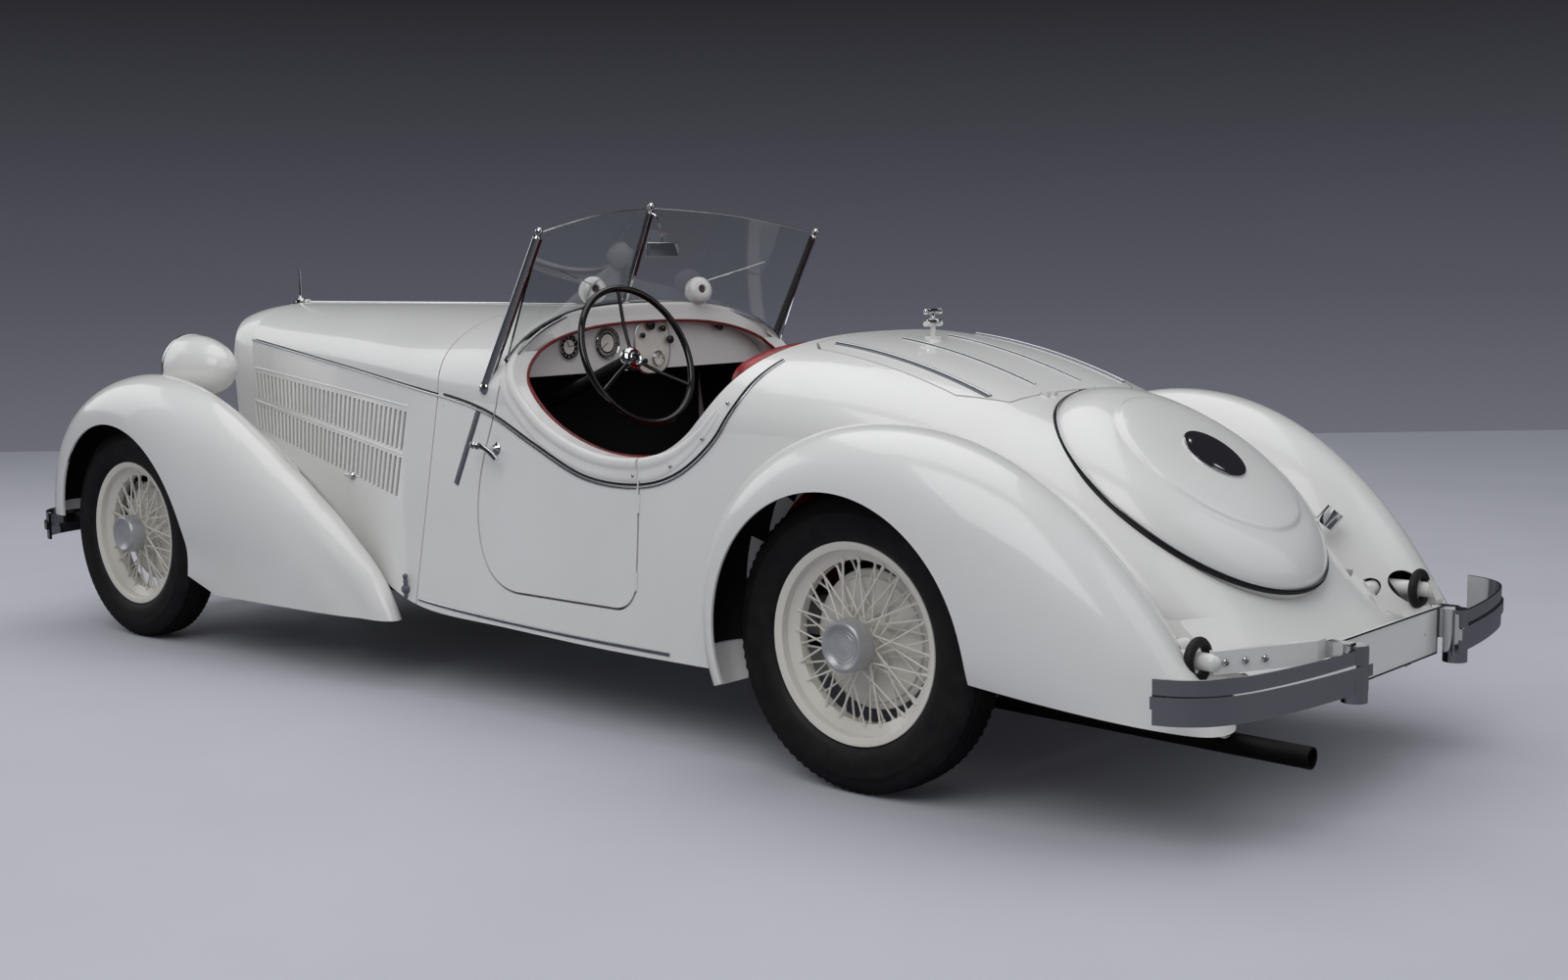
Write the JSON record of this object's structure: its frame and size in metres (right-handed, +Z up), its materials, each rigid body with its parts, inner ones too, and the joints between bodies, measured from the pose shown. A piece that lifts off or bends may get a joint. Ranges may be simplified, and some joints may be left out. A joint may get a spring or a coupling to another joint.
{
  "type": "roadster convertible",
  "caption": "Open two-seat roadster with a long louvred bonnet, pontoon fenders, wire wheels, a split windscreen, a luggage lid and a domed spare wheel cover.",
  "frame": {"origin": "on the ground, midway between the bumpers' ends and the car's sides", "axes": "+X forward along the car, +Y to the car's left, +Z up"},
  "size_m": [4.78, 1.6442, 1.396],
  "materials": {
    "black_plastic": "gloss black",
    "chrome": "polished",
    "clear_glass": "clear",
    "dark_steel": "black enamel on steel",
    "engine_iron": "cast and plain",
    "exhaust_steel": "heat darkened",
    "plate_paint": "white plate with no lettering",
    "red_leather": "satin red hide",
    "tyre": "matt black rubber",
    "wheel_paint": "gloss off-white enamel on rims, spokes and hubs",
    "white_paint": "gloss white enamel"
  },
  "bodies": {
    "chassis": {"body_tub": "white_paint", "bonnet_hinge_rod": "chrome", "bonnet_side_left": "white_paint", "bonnet_side_right": "white_paint", "bumper_arm_left": "white_paint", "bumper_arm_right": "white_paint", "chassis_frame": "dark_steel", "cockpit_coaming": "white_paint", "dash_panel": "white_paint", "engine_block": "engine_iron", "exhaust_pipe": "exhaust_steel", "filler_cap": "chrome", "front_bumper": "chrome", "front_fender_left": "white_paint", "front_fender_right": "white_paint", "front_suspension": "dark_steel", "glass_left": "clear_glass", "glass_right": "clear_glass", "headlamp_left": "white_paint", "headlamp_right": "white_paint", "number_plate": "plate_paint", "radiator_grille": "chrome", "radiator_shell": "white_paint", "rear_axle": "dark_steel", "rear_bumper": "chrome", "rear_fender_left": "white_paint", "rear_fender_right": "white_paint", "seat_back": "red_leather", "seat_cushion": "red_leather", "spare_cover": "white_paint", "steering_column": "dark_steel", "windscreen_frame": "chrome"},
    "wheel_fl": {"tyre_front_left": "tyre", "wheel_front_left": "wheel_paint"},
    "wheel_fr": {"tyre_front_right": "tyre", "wheel_front_right": "wheel_paint"},
    "wheel_rl": {"tyre_rear_left": "tyre", "wheel_rear_left": "wheel_paint"},
    "wheel_rr": {"tyre_rear_right": "tyre", "wheel_rear_right": "wheel_paint"},
    "knuckle_l": {"knuckle_left": "dark_steel"},
    "knuckle_r": {"knuckle_right": "dark_steel"},
    "hand_wheel": {"steering_wheel": "black_plastic"},
    "door_l": {"door_left": "white_paint", "door_coaming_left": "white_paint"},
    "door_r": {"door_right": "white_paint", "door_coaming_right": "white_paint"},
    "luggage_lid": {"deck_lid": "white_paint"},
    "leaf_l": {"bonnet_leaf_left": "white_paint"},
    "leaf_r": {"bonnet_leaf_right": "white_paint"}
  },
  "joints": [
    {"name": "steer_left", "type": "hinge", "parent": "chassis", "child": "knuckle_l", "pos_m": [1.74, 0.546, 0.35], "axis": [0, 0, 1], "range_deg": [-30, 30]},
    {"name": "steer_right", "type": "hinge", "parent": "chassis", "child": "knuckle_r", "pos_m": [1.74, -0.546, 0.35], "axis": [0, 0, 1], "range_deg": [-30, 30]},
    {"name": "turn_hand_wheel", "type": "hinge", "parent": "chassis", "child": "hand_wheel", "pos_m": [-0.26, 0.31, 0.966], "axis": [-0.9291, 0, 0.3697], "range_deg": [-420, 420]},
    {"name": "spin_front_left", "type": "hinge", "parent": "knuckle_l", "child": "wheel_fl", "pos_m": [1.74, 0.67, 0.35], "axis": [0, 1, 0], "continuous": true},
    {"name": "spin_front_right", "type": "hinge", "parent": "knuckle_r", "child": "wheel_fr", "pos_m": [1.74, -0.67, 0.35], "axis": [0, 1, 0], "continuous": true},
    {"name": "spin_rear_left", "type": "hinge", "parent": "chassis", "child": "wheel_rl", "pos_m": [-1.36, 0.67, 0.35], "axis": [0, 1, 0], "continuous": true},
    {"name": "spin_rear_right", "type": "hinge", "parent": "chassis", "child": "wheel_rr", "pos_m": [-1.36, -0.67, 0.35], "axis": [0, 1, 0], "continuous": true},
    {"name": "door_left_hinge", "type": "hinge", "parent": "chassis", "child": "door_l", "pos_m": [-0.5933, 0.65692, 0.41], "axis": [0, -0.0712, 0.9975], "range_deg": [0, 65]},
    {"name": "door_right_hinge", "type": "hinge", "parent": "chassis", "child": "door_r", "pos_m": [-0.5933, -0.65692, 0.41], "axis": [0, -0.0712, -0.9975], "range_deg": [0, 65]},
    {"name": "luggage_lid_hinge", "type": "hinge", "parent": "chassis", "child": "luggage_lid", "pos_m": [-1.4878, 0, 0.89305], "axis": [0, -1, 0], "range_deg": [0, 70]},
    {"name": "bonnet_left_hinge", "type": "hinge", "parent": "chassis", "child": "leaf_l", "pos_m": [1.02, 0, 1.09826], "axis": [1, 0, 0], "range_deg": [0, 60]},
    {"name": "bonnet_right_hinge", "type": "hinge", "parent": "chassis", "child": "leaf_r", "pos_m": [1.02, 0, 1.09826], "axis": [-1, 0, 0], "range_deg": [0, 60]}
  ],
  "couplings": [
    {"joint": "steer_right", "follows": "steer_left", "ratio": 1},
    {"joint": "turn_hand_wheel", "follows": "steer_left", "ratio": 14}
  ]
}
